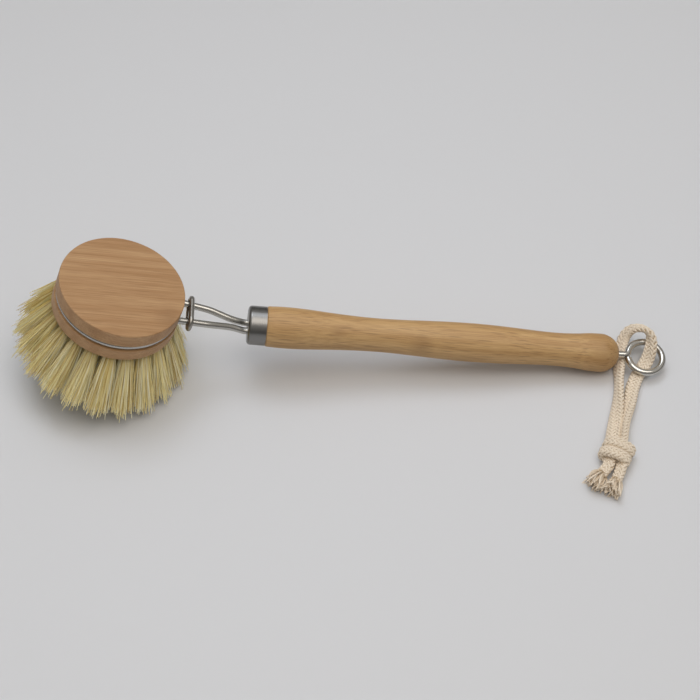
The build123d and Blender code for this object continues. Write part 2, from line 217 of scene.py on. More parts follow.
LOOP_STATIONS = [  # each a place in millimetres and the way that the width points
    ((107.8, -31.8, 1.8), (0.97, -0.10, 0.15)),
    ((109.9, -21.5, 2.6), (0.60, -0.05, 0.80)),
    ((111.2, -11.2, 2.75), (0.25, 0.00, 0.97)),
    ((112.2, -1.8, 2.2), (0.70, 0.00, 0.71)),
    ((113.6, 6.3, 2.3), (0.60, -0.45, 0.67)),
    ((114.7, 10.5, 4.3), (0.62, -0.62, 0.45)),
    ((116.9, 12.1, 7.4), (0.40, -0.78, 0.46)),
    ((120.0, 11.4, 10.0), (0.00, -0.83, 0.55)),
    ((123.0, 9.7, 11.1), (0.05, -0.78, 0.61)),
    ((125.2, 6.1, 10.6), (0.35, -0.76, 0.52)),
    ((124.8, 1.9, 7.1), (0.75, -0.55, 0.35)),
    ((123.2, -1.0, 3.1), (0.93, -0.36, 0.05)),
    ((119.5, -6.0, 1.6), (0.95, -0.30, 0.05)),
    ((116.5, -12.7, 1.6), (0.95, -0.28, 0.12)),
    ((114.5, -22.0, 2.2), (0.80, -0.20, 0.55)),
    ((111.6, -31.8, 2.7), (0.35, -0.10, 0.93)),
]
leg_flat = Vector((0.95, -0.17, 0.20))
leg_upright = Vector((0.30, -0.05, 0.95))
loop_route = [left_mouth + knot_axis * MOUTH_DEPTH, left_mouth - knot_axis * LEG_LEAD]
loop_route += [Vector(place) * MM for place, width in LOOP_STATIONS]
loop_route += [right_mouth - knot_axis * LEG_LEAD, right_mouth + knot_axis * MOUTH_DEPTH]
loop_widths = [leg_flat, leg_flat]
loop_widths += [Vector(width) for place, width in LOOP_STATIONS]
loop_widths += [leg_upright, leg_upright]
print("cord route", len(loop_route), "control points")


# %% Smooth spline through a route
def smooth_route(points, steps=12):
    """Points along the smooth spline that has these control points."""
    curve = bpy.data.curves.new("route", "CURVE")
    curve.dimensions = "3D"
    curve.resolution_u = steps
    spline = curve.splines.new("NURBS")
    spline.points.add(len(points) - 1)
    for control, point in zip(spline.points, points):
        control.co = (*point, 1.0)
    spline.order_u = 3
    spline.use_endpoint_u = True
    holder = bpy.data.objects.new("route", curve)
    bpy.context.scene.collection.objects.link(holder)
    depsgraph = bpy.context.evaluated_depsgraph_get()
    mesh = bpy.data.meshes.new_from_object(holder.evaluated_get(depsgraph))
    path = [v.co.copy() for v in mesh.vertices]
    bpy.data.objects.remove(holder)
    bpy.data.curves.remove(curve)
    bpy.data.meshes.remove(mesh)
    return path


def path_length(path):
    """Length of a run of points."""
    return sum((b - a).length for a, b in zip(path, path[1:]))


loop_path = smooth_route(loop_route)
loop_width_path = smooth_route(loop_widths)

# %% [markdown]
# ## Hanging cord: the braid
# The cord is braided from 16 cotton yarns, eight that wind one way and eight the other. Each yarn
# goes over two and under two of the others, and that makes the little chevrons. A flat tube with
# a bump map would show them, but the cord's outline would stay smooth, so every yarn is built as
# a tube of its own that weaves in and out round the flattened section. A plain core fills the
# middle, so that no gap shows through. Every point keeps its height in the weave, and the finish
# turns it into painted shade, darker in the crevices and on the hidden core.

# %% Braid
YARNS = 16
YARN_WIDTH = 1.16 * MM
YARN_THICK = 0.66 * MM
YARN_SIDES = 6
WEAVE_DEPTH = 0.24 * MM
BRAID_PITCH = 14.0 * MM  # length in which a yarn goes once round
BRAID_STEP = 0.36 * MM  # from one ring of points to the next
FEWEST_RINGS = 4
CORE_GAP = 0.34 * MM  # the core stays this far inside the middles of the yarns
CORE_SIDES = 12
BOARD_TOUCH = 0.02 * MM  # nothing of the braid is lower than this
# the cotton's finish turns the height below into painted shade, darker where it is low
MID_HEIGHT = 0.45  # height kept at each point, from 0 in the crevices to 1 on the outside
WEAVE_SHARE = 0.3  # how much of it comes from going over and under
SIDE_SHARE = 0.35  # and how much from the side of the yarn
COTTON = bpy.data.materials.new("braided_cotton")  # its finish follows below
print("braid of", YARNS, "yarns, each", round(YARN_WIDTH / MM, 2), "mm wide")


# %% Braid: places on the flat oval
def oval_place(turn, half_width, half_thick):
    """Point and outward direction on a flat oval, by the share of the way round it."""
    straight = half_width - half_thick
    quarter = math.pi * half_thick / 2
    total = 4 * straight + 4 * quarter
    way = (turn % 1.0) * total
    # where the right arc, the top and the left arc end
    legs = np.cumsum([2 * quarter, 2 * straight, 2 * quarter]) - quarter
    x = np.zeros_like(way)
    y = np.zeros_like(way)
    across = np.zeros_like(way)
    up = np.zeros_like(way)
    shifted = np.where(way > total - quarter, way - total, way)
    for centre, start, end, base in (
        (straight, -quarter, legs[0], -math.pi / 2),
        (-straight, legs[1], legs[2], math.pi / 2),
    ):
        here = (shifted >= start) & (shifted < end)
        angle = base + np.pi * (shifted - start) / (2 * quarter)
        x = np.where(here, centre + half_thick * np.cos(angle), x)
        y = np.where(here, half_thick * np.sin(angle), y)
        across = np.where(here, np.cos(angle), across)
        up = np.where(here, np.sin(angle), up)
    top = (shifted >= legs[0]) & (shifted < legs[1])
    x = np.where(top, straight - (shifted - legs[0]), x)
    y = np.where(top, half_thick, y)
    up = np.where(top, 1.0, up)
    bottom = shifted >= legs[2]
    x = np.where(bottom, -straight + (shifted - legs[2]), x)
    y = np.where(bottom, -half_thick, y)
    up = np.where(bottom, -1.0, up)
    return x, y, across, up


# %% Braid: directions along the path
def braid_frames(path, widths, step):
    """Evenly spaced places along a path, each with its tangent, width and thickness directions."""
    path = np.array([tuple(p) for p in path])
    widths = np.array([tuple(w) for w in widths])
    runs = np.linalg.norm(np.diff(path, axis=0), axis=1)
    along = np.concatenate([[0.0], np.cumsum(runs)])
    places = np.linspace(0.0, along[-1], max(FEWEST_RINGS, round(along[-1] / step)))
    centre = np.stack([np.interp(places, along, path[:, k]) for k in range(3)], axis=1)
    width = np.stack([np.interp(places, along, widths[:, k]) for k in range(3)], axis=1)
    tangent = np.gradient(centre, axis=0)
    tangent /= np.linalg.norm(tangent, axis=1)[:, None]
    width -= tangent * np.sum(width * tangent, axis=1)[:, None]
    width /= np.linalg.norm(width, axis=1)[:, None]
    return places, centre, tangent, width, np.cross(tangent, width)


# %% Braid: faces of a tube, and a piece made of them
def tube_faces(first, rings, sides):
    """Faces of a closed tube whose points start at a number and lie ring after ring."""
    ring = np.arange(rings - 1)[:, None]
    side = np.arange(sides)[None, :]
    following = (side + 1) % sides
    a = first + ring * sides + side
    b = first + ring * sides + following
    quads = np.stack([a, b, b + sides, a + sides], axis=-1).reshape(-1, 4).tolist()
    quads.append([first + s for s in reversed(range(sides))])
    quads.append([first + (rings - 1) * sides + s for s in range(sides)])
    return quads


def new_piece(name, points, faces, material, **point_values):
    """A smooth mesh object at the origin, with a value stored at each of its points."""
    mesh = bpy.data.meshes.new(name)
    mesh.from_pydata(points, [], faces)
    mesh.materials.append(material)
    mesh.shade_smooth()
    for key, values in point_values.items():
        mesh.attributes.new(key, "FLOAT", "POINT").data.foreach_set("value", values)
    mesh.update()
    piece = bpy.data.objects.new(name, mesh)
    bpy.context.scene.collection.objects.link(piece)
    return piece


# %% Braid: yarns and core
def build_braid(name, path, widths, width, thick):
    """A flat braid that follows a path, as one closed mesh of yarns and core."""
    places, centre, tangent, across, up = braid_frames(path, widths, BRAID_STEP)
    inset = YARN_THICK / 2 + WEAVE_DEPTH
    half_width = width / 2 - inset
    half_thick = thick / 2 - inset
    points = []
    faces = []
    crevice_shade_heights = []
    ring = np.arange(YARN_SIDES) * 2 * math.pi / YARN_SIDES
    for yarn in range(YARNS):
        way = 1 if yarn % 2 else -1
        turn = way * places / BRAID_PITCH + (yarn // 2) / (YARNS / 2)
        x, y, out_x, out_y = oval_place(turn, half_width, half_thick)
        # over two and under two: one wave to every four crossings
        weave_share = way * np.cos(turn * YARNS * math.pi / 2 - math.pi / 4)
        weave = WEAVE_DEPTH * weave_share
        out = across * out_x[:, None] + up * out_y[:, None]
        middle = centre + across * x[:, None] + up * y[:, None] + out * weave[:, None]
        run = np.gradient(middle, axis=0)
        run /= np.linalg.norm(run, axis=1)[:, None]
        out -= run * np.sum(out * run, axis=1)[:, None]
        out /= np.linalg.norm(out, axis=1)[:, None]
        side = np.cross(run, out)
        rings = middle[:, None, :]
        rings = rings + side[:, None, :] * (np.cos(ring) * YARN_WIDTH / 2)[None, :, None]
        rings = rings - out[:, None, :] * (np.sin(ring) * YARN_THICK / 2)[None, :, None]
        faces += tube_faces(len(points) * len(places) * YARN_SIDES, len(places), YARN_SIDES)
        points.append(rings.reshape(-1, 3))
        # painted shade: the height is lower on the yarn's inner side and where it goes under, so the
        # finish paints it darker there
        height = MID_HEIGHT + WEAVE_SHARE * weave_share[:, None] - SIDE_SHARE * np.sin(ring)[None, :]
        crevice_shade_heights.append(height.ravel())
    first = len(points) * len(places) * YARN_SIDES
    turns = np.arange(CORE_SIDES) / CORE_SIDES
    x, y, out_x, out_y = oval_place(turns, half_width - CORE_GAP, half_thick - CORE_GAP)
    core = centre[:, None, :] + across[:, None, :] * x[None, :, None] + up[:, None, :] * y[None, :, None]
    faces += tube_faces(first, len(places), CORE_SIDES)
    points.append(core.reshape(-1, 3))
    # painted shade: the hidden core gets height 0, so the finish paints it darkest
    crevice_shade_heights.append(np.zeros(core.shape[0] * core.shape[1]))
    points = np.concatenate(points)
    points[:, 2] = np.maximum(points[:, 2], BOARD_TOUCH)
    return new_piece(name, points.tolist(), faces, COTTON, height=np.concatenate(crevice_shade_heights))


cord_braid = build_braid("cord_braid", loop_path, loop_width_path, CORD_WIDTH, CORD_THICK)
print("cord braid", len(cord_braid.data.polygons), "faces")

# %% [markdown]
# ## Hanging cord: the knot and its tails
# The two legs end in one overhand knot. From above it shows two wraps of the braid, squeezed
# narrower, that lean from the upper left to the lower right. The wraps are one route that starts
# inside, goes round twice and ends inside. Below them each leg comes out as a short tail.

# %% Knot
KNOT_WIDTH = 13.4 * MM
KNOT_HEIGHT = 8.2 * MM
WRAP_WIDTH = 5.2 * MM
WRAP_THICK = 2.9 * MM
WRAP_STEP = 5.0 * MM  # from one wrap to the next
WRAP_LEAN = math.radians(16.0)
WRAP_POINTS = 12  # control points in one turn
CORNER_CUT = 1.04  # the smooth spline runs this much inside its control points
wrap_side = knot_side * math.cos(WRAP_LEAN) + knot_axis * math.sin(WRAP_LEAN)
wrap_axis = knot_axis * math.cos(WRAP_LEAN) - knot_side * math.sin(WRAP_LEAN)
wrap_half_width = (KNOT_WIDTH - WRAP_THICK) / 2 * CORNER_CUT
wrap_half_height = (KNOT_HEIGHT - WRAP_THICK) / 2 * CORNER_CUT
wrap_route = [KNOT_CENTRE - wrap_axis * WRAP_STEP / 2]
for wrap in (-0.5, 0.5):
    for number in range(WRAP_POINTS + 1):
        angle = -math.pi / 2 - 2 * math.pi * number / WRAP_POINTS
        place = KNOT_CENTRE + wrap_axis * WRAP_STEP * wrap
        place = place + wrap_side * math.cos(angle) * wrap_half_width
        wrap_route.append(place + Vector((0, 0, math.sin(angle) * wrap_half_height)))
wrap_route.append(KNOT_CENTRE + wrap_axis * WRAP_STEP / 2)
wrap_path = smooth_route(wrap_route)
wrap_widths = [wrap_axis] * len(wrap_path)
knot_wraps = build_braid("knot_wraps", wrap_path, wrap_widths, WRAP_WIDTH, WRAP_THICK)
print("knot wraps", round(path_length(wrap_path) / MM, 1), "mm of braid")

# %% Tails
TAIL_SPREAD = 2.4 * MM
TAIL_LEAD = 1.6 * MM  # each tail leaves the knot straight for this length
TAIL_DEPTH = 2.6 * MM  # and starts this far inside it
TAIL_WIDTH = 5.3 * MM
TAIL_THICK = 2.8 * MM
TAILS = {  # side, a place on the way, the neck of the fray, and the way that the width points
    "left": (-TAIL_SPREAD, (101.2, -55.6, 2.9), (99.6, -57.6, 2.6), (0.85, -0.40, 0.35)),
    "right": (TAIL_SPREAD, (106.5, -58.0, 2.7), (105.2, -60.6, 2.4), (0.80, -0.25, 0.55)),
}
tail_face = KNOT_CENTRE - LEAD_DROP + knot_axis * KNOT_LENGTH / 2
tail_pieces = []
tail_necks = {}
for name, (spread, middle, neck, width) in TAILS.items():
    root = tail_face + knot_side * spread
    route = [root - knot_axis * TAIL_DEPTH, root + knot_axis * TAIL_LEAD]
    route += [Vector(middle) * MM, Vector(neck) * MM]
    path = smooth_route(route)
    widths = smooth_route([Vector(width)] * len(route))
    tail = build_braid(f"cord_tail_{name}_braid", path, widths, TAIL_WIDTH, TAIL_THICK)
    tail_pieces.append(tail)
    tail_necks[name] = (path[-1], (path[-1] - path[-2]).normalized())
    print(name, "tail", round(path_length(path) / MM, 1), "mm")

# %% [markdown]
# ## Fibre tufts
# The brush has 41 tufts of stiff plant fibre, about 7500 fibres in all, and the cord's ends open
# into loose yarns. Both are fibres that start close together and spread, so one Geometry Nodes
# tree makes them all. It scatters numbered points, works out from each number which tuft the
# fibre belongs to and where its root and tip lie, puts a short line on every point, and bends
# each line between its own root and tip. A particle system could not give every ring its own
# spread so simply.

# %% Fibre tree
fibre_tree = bpy.data.node_groups.new("fibre_tufts", "GeometryNodeTree")
FIBRE_INPUTS = {
    "Tufts": "NodeSocketInt",
    "Fibres": "NodeSocketInt",
    "Steps": "NodeSocketInt",
    "Seed": "NodeSocketInt",
    "Ring Radius": "NodeSocketFloat",
    "Ring Spread": "NodeSocketFloat",
    "Root Radius": "NodeSocketFloat",
    "Tuft Spread": "NodeSocketFloat",
    "Start": "NodeSocketFloat",
    "Length": "NodeSocketFloat",
    "Shortest": "NodeSocketFloat",
    "Tip Scatter": "NodeSocketFloat",
    "Bow": "NodeSocketFloat",
    "Fibre Radius": "NodeSocketFloat",
    "Material": "NodeSocketMaterial",
}
socket_ids = {}
for name, kind in FIBRE_INPUTS.items():
    socket = fibre_tree.interface.new_socket(name, in_out="INPUT", socket_type=kind)
    socket_ids[name] = socket.identifier
fibre_tree.interface.new_socket("Geometry", in_out="OUTPUT", socket_type="NodeSocketGeometry")
given = add_node(fibre_tree, "NodeGroupInput").outputs
print("fibre tree inputs", ", ".join(FIBRE_INPUTS))

# %% Fibre tree: root of every fibre
MATH = "ShaderNodeMath"
VECTOR_MATH = "ShaderNodeVectorMath"
GOLDEN_ANGLE = 2.399963  # turning by it from fibre to fibre fills a disc evenly
SQUARE_ROOT = 0.5  # of the fibre's share, so the outer part of the disc isn't sparse
number = add_node(fibre_tree, "GeometryNodeInputIndex").outputs[0]
count = add_node(fibre_tree, MATH, {0: given["Tufts"], 1: given["Fibres"]}, operation="MULTIPLY")
share = add_node(fibre_tree, MATH, {0: number, 1: given["Fibres"]}, operation="DIVIDE")
tuft = add_node(fibre_tree, MATH, {0: share.outputs[0]}, operation="FLOOR")
within = add_node(fibre_tree, MATH, {0: number, 1: given["Fibres"]}, operation="MODULO")
tuft_share = add_node(fibre_tree, MATH, {0: tuft.outputs[0], 1: given["Tufts"]}, operation="DIVIDE")
tuft_turn = add_node(fibre_tree, MATH, {0: tuft_share.outputs[0], 1: 2 * math.pi}, operation="MULTIPLY")
ring_start = add_node(fibre_tree, "ShaderNodeCombineXYZ", {"X": given["Ring Radius"]})
ring_place = add_node(
    fibre_tree,
    "ShaderNodeVectorRotate",
    {"Vector": ring_start.outputs[0], "Angle": tuft_turn.outputs[0]},
    rotation_type="Z_AXIS",
)
fill = add_node(fibre_tree, MATH, {0: within.outputs[0], 1: given["Fibres"]}, operation="DIVIDE")
fill_root = add_node(fibre_tree, MATH, {0: fill.outputs[0], 1: SQUARE_ROOT}, operation="POWER")
disc_radius = add_node(
    fibre_tree, MATH, {0: fill_root.outputs[0], 1: given["Root Radius"]}, operation="MULTIPLY"
)
swirl = add_node(fibre_tree, MATH, {0: within.outputs[0], 1: GOLDEN_ANGLE}, operation="MULTIPLY")
disc_start = add_node(fibre_tree, "ShaderNodeCombineXYZ", {"X": disc_radius.outputs[0]})
disc_place = add_node(
    fibre_tree,
    "ShaderNodeVectorRotate",
    {"Vector": disc_start.outputs[0], "Angle": swirl.outputs[0]},
    rotation_type="Z_AXIS",
)
start_depth = add_node(fibre_tree, "ShaderNodeCombineXYZ", {"Z": given["Start"]})
root_flat = add_node(
    fibre_tree, VECTOR_MATH, {0: ring_place.outputs[0], 1: disc_place.outputs[0]}, operation="ADD"
)
root = add_node(
    fibre_tree, VECTOR_MATH, {0: root_flat.outputs[0], 1: start_depth.outputs[0]}, operation="ADD"
)

# %% Fibre tree: tip and bow of every fibre
BOW_SEED = 11  # added to the seed, so that bow and scatter differ
TONE_SEED = 23
BOW_HEIGHT = 0.3  # a fibre bows mostly sideways
scatter = add_node(
    fibre_tree,
    "FunctionNodeRandomValue",
    {0: (-1, -1, 0), 1: (1, 1, 0), "Seed": given["Seed"]},
    data_type="FLOAT_VECTOR",
)
scatter_size = add_node(
    fibre_tree, VECTOR_MATH, {0: scatter.outputs[0], "Scale": given["Tip Scatter"]}, operation="SCALE"
)
ring_tip = add_node(
    fibre_tree, VECTOR_MATH, {0: ring_place.outputs[0], "Scale": given["Ring Spread"]}, operation="SCALE"
)
disc_tip = add_node(
    fibre_tree, VECTOR_MATH, {0: disc_place.outputs[0], "Scale": given["Tuft Spread"]}, operation="SCALE"
)
tip_flat = add_node(
    fibre_tree, VECTOR_MATH, {0: ring_tip.outputs[0], 1: disc_tip.outputs[0]}, operation="ADD"
)
tip_scattered = add_node(
    fibre_tree, VECTOR_MATH, {0: tip_flat.outputs[0], 1: scatter_size.outputs[0]}, operation="ADD"
)
length_share = add_node(
    fibre_tree,
    "FunctionNodeRandomValue",
    {2: given["Shortest"], 3: 1.0, "Seed": given["Seed"]},
    data_type="FLOAT",
)
full_depth = add_node(fibre_tree, MATH, {0: given["Start"], 1: given["Length"]}, operation="SUBTRACT")
depth = add_node(fibre_tree, "ShaderNodeCombineXYZ", {"Z": full_depth.outputs[0]})
full_tip = add_node(
    fibre_tree, VECTOR_MATH, {0: tip_scattered.outputs[0], 1: depth.outputs[0]}, operation="ADD"
)
whole_run = add_node(
    fibre_tree, VECTOR_MATH, {0: full_tip.outputs[0], 1: root.outputs[0]}, operation="SUBTRACT"
)
fibre_run = add_node(
    fibre_tree, VECTOR_MATH, {0: whole_run.outputs[0], "Scale": length_share.outputs[1]}, operation="SCALE"
)
bow_seed = add_node(fibre_tree, MATH, {0: given["Seed"], 1: BOW_SEED}, operation="ADD")
bow_way = add_node(
    fibre_tree,
    "FunctionNodeRandomValue",
    {0: (-1, -1, -BOW_HEIGHT), 1: (1, 1, BOW_HEIGHT), "Seed": bow_seed.outputs[0]},
    data_type="FLOAT_VECTOR",
)
bow = add_node(fibre_tree, VECTOR_MATH, {0: bow_way.outputs[0], "Scale": given["Bow"]}, operation="SCALE")
tone_seed = add_node(fibre_tree, MATH, {0: given["Seed"], 1: TONE_SEED}, operation="ADD")
tone = add_node(
    fibre_tree,
    "FunctionNodeRandomValue",
    {2: 0.0, 3: 1.0, "Seed": tone_seed.outputs[0]},
    data_type="FLOAT",
)

# %% Fibre tree: lines, bending and thickness
TAPER = 0.35  # share of the thickness that is gone at the tip
FIBRE_SIDES = 3
geometry = add_node(fibre_tree, "GeometryNodePoints", {"Count": count.outputs[0]}).outputs[0]
for name, kind, value in (
    ("root", "FLOAT_VECTOR", root.outputs[0]),
    ("run", "FLOAT_VECTOR", fibre_run.outputs[0]),
    ("bow", "FLOAT_VECTOR", bow.outputs[0]),
    ("tone", "FLOAT", tone.outputs[1]),
):
    geometry = add_node(
        fibre_tree,
        "GeometryNodeStoreNamedAttribute",
        {"Geometry": geometry, "Name": name, "Value": value},
        data_type=kind,
    ).outputs[0]
line = add_node(fibre_tree, "GeometryNodeCurvePrimitiveLine", {"End": (0, 0, -1)})
steps = add_node(
    fibre_tree, "GeometryNodeResampleCurve", {"Curve": line.outputs[0], "Count": given["Steps"]}
)
lines = add_node(
    fibre_tree, "GeometryNodeInstanceOnPoints", {"Points": geometry, "Instance": steps.outputs[0]}
)
real_lines = add_node(fibre_tree, "GeometryNodeRealizeInstances", {"Geometry": lines.outputs[0]})
along = add_node(fibre_tree, "GeometryNodeSplineParameter").outputs["Factor"]
kept_along = add_node(
    fibre_tree,
    "GeometryNodeStoreNamedAttribute",
    {"Geometry": real_lines.outputs[0], "Name": "along", "Value": along},
    data_type="FLOAT",
)
stored = {}
for name in ("root", "run", "bow"):
    reader = add_node(
        fibre_tree, "GeometryNodeInputNamedAttribute", {"Name": name}, data_type="FLOAT_VECTOR"
    )
    stored[name] = reader.outputs["Attribute"]
straight = add_node(
    fibre_tree, VECTOR_MATH, {0: stored["run"], 1: along, 2: stored["root"]}, operation="MULTIPLY_ADD"
)
left_over = add_node(fibre_tree, MATH, {0: 1.0, 1: along}, operation="SUBTRACT")
arch = add_node(fibre_tree, MATH, {0: left_over.outputs[0], 1: along}, operation="MULTIPLY")
bent = add_node(
    fibre_tree,
    VECTOR_MATH,
    {0: stored["bow"], 1: arch.outputs[0], 2: straight.outputs[0]},
    operation="MULTIPLY_ADD",
)
placed = add_node(
    fibre_tree,
    "GeometryNodeSetPosition",
    {"Geometry": kept_along.outputs[0], "Position": bent.outputs[0]},
)
taper = add_node(fibre_tree, MATH, {0: along, 1: -TAPER, 2: 1.0}, operation="MULTIPLY_ADD")
radius = add_node(
    fibre_tree, MATH, {0: taper.outputs[0], 1: given["Fibre Radius"]}, operation="MULTIPLY"
)
profile = add_node(
    fibre_tree, "GeometryNodeCurvePrimitiveCircle", {"Resolution": FIBRE_SIDES, "Radius": 1.0}
)
tubes = add_node(
    fibre_tree,
    "GeometryNodeCurveToMesh",
    {
        "Curve": placed.outputs[0],
        "Profile Curve": profile.outputs[0],
        "Scale": radius.outputs[0],
        "Fill Caps": True,
    },
)
all_real = add_node(fibre_tree, "GeometryNodeRealizeInstances", {"Geometry": tubes.outputs[0]})
finished = add_node(
    fibre_tree,
    "GeometryNodeSetMaterial",
    {"Geometry": all_real.outputs[0], "Material": given["Material"]},
)
add_node(fibre_tree, "NodeGroupOutput", {"Geometry": finished.outputs[0]})
print("fibre tree", len(fibre_tree.nodes), "nodes")

# %% Making a piece with the fibre tree
REST_HEIGHT = 0.15 * MM  # the tips lie between this and twice this above the board
PRESS_DEPTH = 1.0 * MM  # a tip that would reach so far below is nearly flat


def grow_fibres(name, place, **values):
    """A mesh of fibres. place turns the tree's frame, whose fibres run down, into the brush's."""
    mesh = bpy.data.meshes.new(name)
    holder = bpy.data.objects.new(name, mesh)
    bpy.context.scene.collection.objects.link(holder)
    modifier = holder.modifiers.new("fibres", "NODES")
    modifier.node_group = fibre_tree
    for key, value in values.items():
        modifier[socket_ids[key.replace("_", " ")]] = value
    depsgraph = bpy.context.evaluated_depsgraph_get()
    made = bpy.data.meshes.new_from_object(holder.evaluated_get(depsgraph))
    holder.modifiers.remove(modifier)
    holder.data = made
    bpy.data.meshes.remove(mesh)
    made.name = name
    made.transform(place)
    points = np.empty(len(made.vertices) * 3)
    made.vertices.foreach_get("co", points)
    points = points.reshape(-1, 3)
    touch = REST_HEIGHT * 2
    low = points[:, 2] < touch
    points[low, 2] = touch - REST_HEIGHT * np.tanh((touch - points[low, 2]) / PRESS_DEPTH)
    made.vertices.foreach_set("co", points.ravel())
    made.shade_flat()
    made.update()
    print(name, len(made.polygons), "faces")
    return holder


# %% [markdown]
# ## Bristles
# Twenty tufts stand in the outer ring, and three smaller rings fill the middle. Their holes lean
# outwards, so the tips stand on rings half as large again. Each fibre is a three-sided tube that
# is a third of a millimetre thick at the root, thinner at the tip and slightly bowed. Its three
# faces stay flat, because each then catches the light in its own way, as stiff fibre does.
# Where the lowest tips meet the board they are pressed flat on it. Every fibre keeps a random
# tone and the way along it, for the finish.

# %% Bristles
PLANT_FIBRE = bpy.data.materials.new("tampico_fibre")  # its finish follows below
HEAD_TILT = math.radians(17.1)
BLOCK_BELOW = 6.7 * MM  # from the groove's middle down to the head's underside
BRISTLE_DEPTH = 24.4 * MM
ROOT_SINK = 1.5 * MM  # the fibres start this far inside the head
RING_SPREAD = 1.54  # radius of a ring at its tips, by its radius at the roots
HEAD_ORIGIN = Vector((-87.7, 0, 39.7097)) * MM
head_place = Matrix.Translation(HEAD_ORIGIN) @ Matrix.Rotation(HEAD_TILT, 4, "Y")
BRISTLE_RINGS = {  # tufts, radius of the ring in millimetres, and fibres in a tuft
    "outer": (20, 20.5, 230),
    "middle": (13, 13.5, 150),
    "inner": (7, 7.0, 120),
    "centre": (1, 0.0, 120),
}
for seed, (ring, (tufts, ring_radius, fibres)) in enumerate(BRISTLE_RINGS.items()):
    piece = grow_fibres(
        f"bristles_{ring}",
        head_place,
        Tufts=tufts,
        Fibres=fibres,
        Steps=6,
        Seed=seed + 1,
        Ring_Radius=ring_radius * MM,
        Ring_Spread=RING_SPREAD,
        Root_Radius=1.95 * MM,
        Tuft_Spread=2.3,
        Start=-BLOCK_BELOW + ROOT_SINK,
        Length=BRISTLE_DEPTH + ROOT_SINK,
        Shortest=0.88,
        Tip_Scatter=1.9 * MM,
        Bow=2.6 * MM,
        Fibre_Radius=0.17 * MM,
        Material=PLANT_FIBRE,
    )
    members = [name for name in nodes if name.startswith(f"tuft_{ring}")]
    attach(piece, "brush_head")
    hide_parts(*members)

# %% [markdown]
# ## Frayed ends
# Past the neck of each tail the braid is undone, and its yarns open like a small mop. The same
# tree makes them with fewer, thicker and much more bowed fibres.

# %% Frays
fray_pieces = []
for seed, (name, (neck, run)) in enumerate(tail_necks.items()):
    place = Matrix.Translation(neck) @ (-run).to_track_quat("Z", "Y").to_matrix().to_4x4()
    piece = grow_fibres(
        f"cord_tail_{name}_fray",
        place,
        Tufts=1,
        Fibres=85,
        Steps=8,
        Seed=seed + 31,
        Ring_Radius=0.0,
        Ring_Spread=1.0,
        Root_Radius=1.8 * MM,
        Tuft_Spread=2.6,
        Start=1.0 * MM,
        Length=8.2 * MM,
        Shortest=0.6,
        Tip_Scatter=2.0 * MM,
        Bow=5.0 * MM,
        Fibre_Radius=0.44 * MM,
        Material=COTTON,
    )
    fray_pieces.append(piece)

CORD_PIECES = {
    "hang_cord": [cord_braid],
    "cord_knot": [knot_wraps],
    "cord_tail_left": [tail_pieces[0], fray_pieces[0]],
    "cord_tail_right": [tail_pieces[1], fray_pieces[1]],
}
for node, pieces in CORD_PIECES.items():
    for piece in pieces:
        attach(piece, "handle_set")
        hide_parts(node)
print("cord pieces", sum(len(pieces) for pieces in CORD_PIECES.values()))

# %% [markdown]
# ## Bamboo
# The handle and the head are solid bamboo, turned on a lathe and sanded but not varnished. To the
# eye that is a pale tan with hair-fine fibres along the stem, darker bundles that show as long
# streaks on the sides and as dots and short flecks where the grain ends, and a slightly satin
# skin. A pattern in three dimensions gives all of it at once: it is long along the grain and fine
# across it, so the lathe's cut shows streaks or flecks by itself.

# %% Bamboo finish
# Millimetres along the grain and across it. The real fibres are too fine to show.
FIBRE_SIZES = (22, 0.30, 0.30)
STRIP_SIZES = (90, 2.6, 2.6)
BUNDLE_SIZES = (13, 0.75, 0.75)
STRIP_SHADE = [(0.35, "#ece4da"), (0.65, "#ffffff")]
BUNDLE_EDGE = [(0.12, "#ffffff"), (0.34, "#000000")]
SATIN = (0.42, 0.62)  # roughness of the sanded skin
GRAIN_DEPTH = 0.05 * MM


